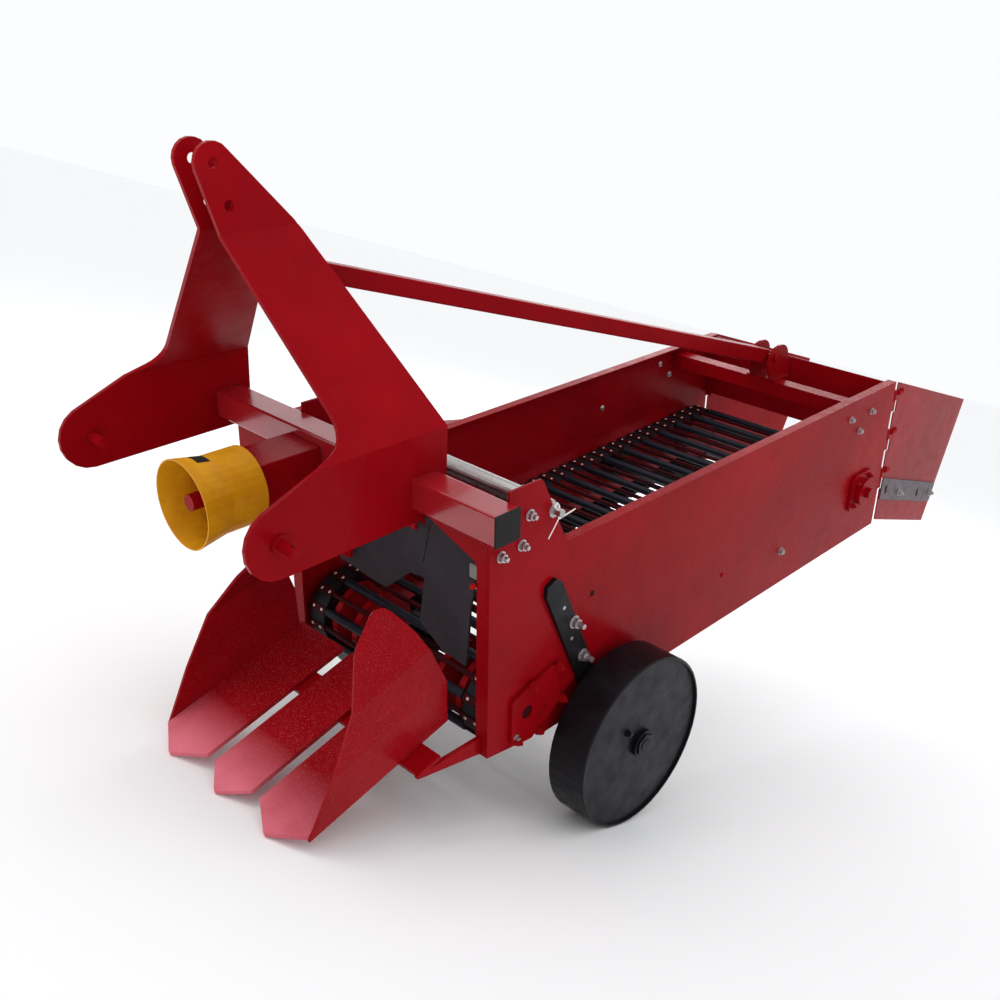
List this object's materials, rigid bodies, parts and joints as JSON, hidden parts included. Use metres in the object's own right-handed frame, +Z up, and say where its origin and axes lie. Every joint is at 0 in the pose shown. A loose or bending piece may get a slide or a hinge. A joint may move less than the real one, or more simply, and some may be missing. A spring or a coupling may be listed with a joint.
{
  "type": "potato digger",
  "caption": "Tractor-mounted single-row potato digger: offset three-point headstock, digging shares with curved wings, rod-link web in a steel trough, depth wheels and swinging rear flaps.",
  "frame": {"origin": "centre of the bounding box on the ground, with the digger standing on its share points and wheels", "axes": "+Z up; -Y the direction of travel, the headstock's side; +X the machine's left side; the headstock is offset to -X"},
  "size_m": [1.0536, 2.5964, 1.1957],
  "materials": {
    "bare_steel": "bright bare steel",
    "black_paint": "satin enamel",
    "curtain_rubber": "matt sheet rubber",
    "guard_plastic": "semi-gloss moulded",
    "plug_plastic": "matt moulded",
    "red_paint": "gloss enamel over welded steel",
    "web_rubber": "ribbed rubber with steel rods inside",
    "zinc_plate": "galvanised"
  },
  "bodies": {
    "frame": {"side_panel_left": "red_paint", "side_panel_right": "red_paint", "front_plate_left": "red_paint", "front_plate_right": "red_paint", "front_portal_left": "red_paint", "front_portal_right": "red_paint", "front_beam": "red_paint", "beam_plug_left": "plug_plastic", "beam_plug_right": "plug_plastic", "hitch_plate_left": "red_paint", "hitch_plate_right": "red_paint", "lower_hitch_pin_left": "red_paint", "lower_hitch_pin_right": "red_paint", "hitch_tie": "red_paint", "brace_tube": "red_paint", "brace_bracket": "red_paint", "rear_cross_member": "red_paint", "rear_cross_sheet": "red_paint", "gearbox_mount_plate": "red_paint", "gearbox": "red_paint", "pto_guard": "guard_plastic", "cross_drive_tube": "red_paint", "chain_case": "red_paint", "curtain_tube": "bare_steel", "rubber_curtain": "curtain_rubber", "share_centre": "red_paint", "share_left": "red_paint", "share_right": "red_paint", "wing_left": "red_paint", "wing_right": "red_paint", "share_carrier": "red_paint", "web_loop": "web_rubber", "front_web_roller": "red_paint", "rear_drive_shaft": "red_paint", "support_roller_front": "black_paint", "support_roller_rear": "black_paint", "rear_bearing_left": "red_paint", "rear_bearing_right": "red_paint", "front_bearing_plate_left": "red_paint", "front_bearing_plate_right": "red_paint", "wheel_arm_left": "black_paint", "wheel_axle_left": "black_paint", "wheel_arm_right": "black_paint", "wheel_axle_right": "black_paint"},
    "pto": {"pto_shaft": "red_paint"},
    "wheel_l": {"wheel_left": "black_paint"},
    "wheel_r": {"wheel_right": "black_paint"},
    "flap_l": {"rear_flap_left": "red_paint", "flap_bar_left": "zinc_plate"},
    "flap_r": {"rear_flap_right": "red_paint", "flap_bar_right": "zinc_plate"}
  },
  "joints": [
    {"name": "pto_spin", "type": "hinge", "parent": "frame", "child": "pto", "pos_m": [-0.13675, -1.01819, 0.56707], "axis": [0, -0.9426, -0.3338], "continuous": true},
    {"name": "wheel_l_spin", "type": "hinge", "parent": "frame", "child": "wheel_l", "pos_m": [0.42075, -0.3266, 0.20272], "axis": [1, 0, 0], "continuous": true},
    {"name": "wheel_r_spin", "type": "hinge", "parent": "frame", "child": "wheel_r", "pos_m": [-0.25525, -0.3266, 0.20272], "axis": [1, 0, 0], "continuous": true},
    {"name": "flap_l_swing", "type": "hinge", "parent": "frame", "child": "flap_l", "pos_m": [0.38475, 0.68497, 1.09381], "axis": [0, -0.3338, 0.9426], "range_deg": [-20, 22]},
    {"name": "flap_r_swing", "type": "hinge", "parent": "frame", "child": "flap_r", "pos_m": [-0.21925, 0.68497, 1.09381], "axis": [0, 0.3338, -0.9426], "range_deg": [-20, 22]}
  ]
}
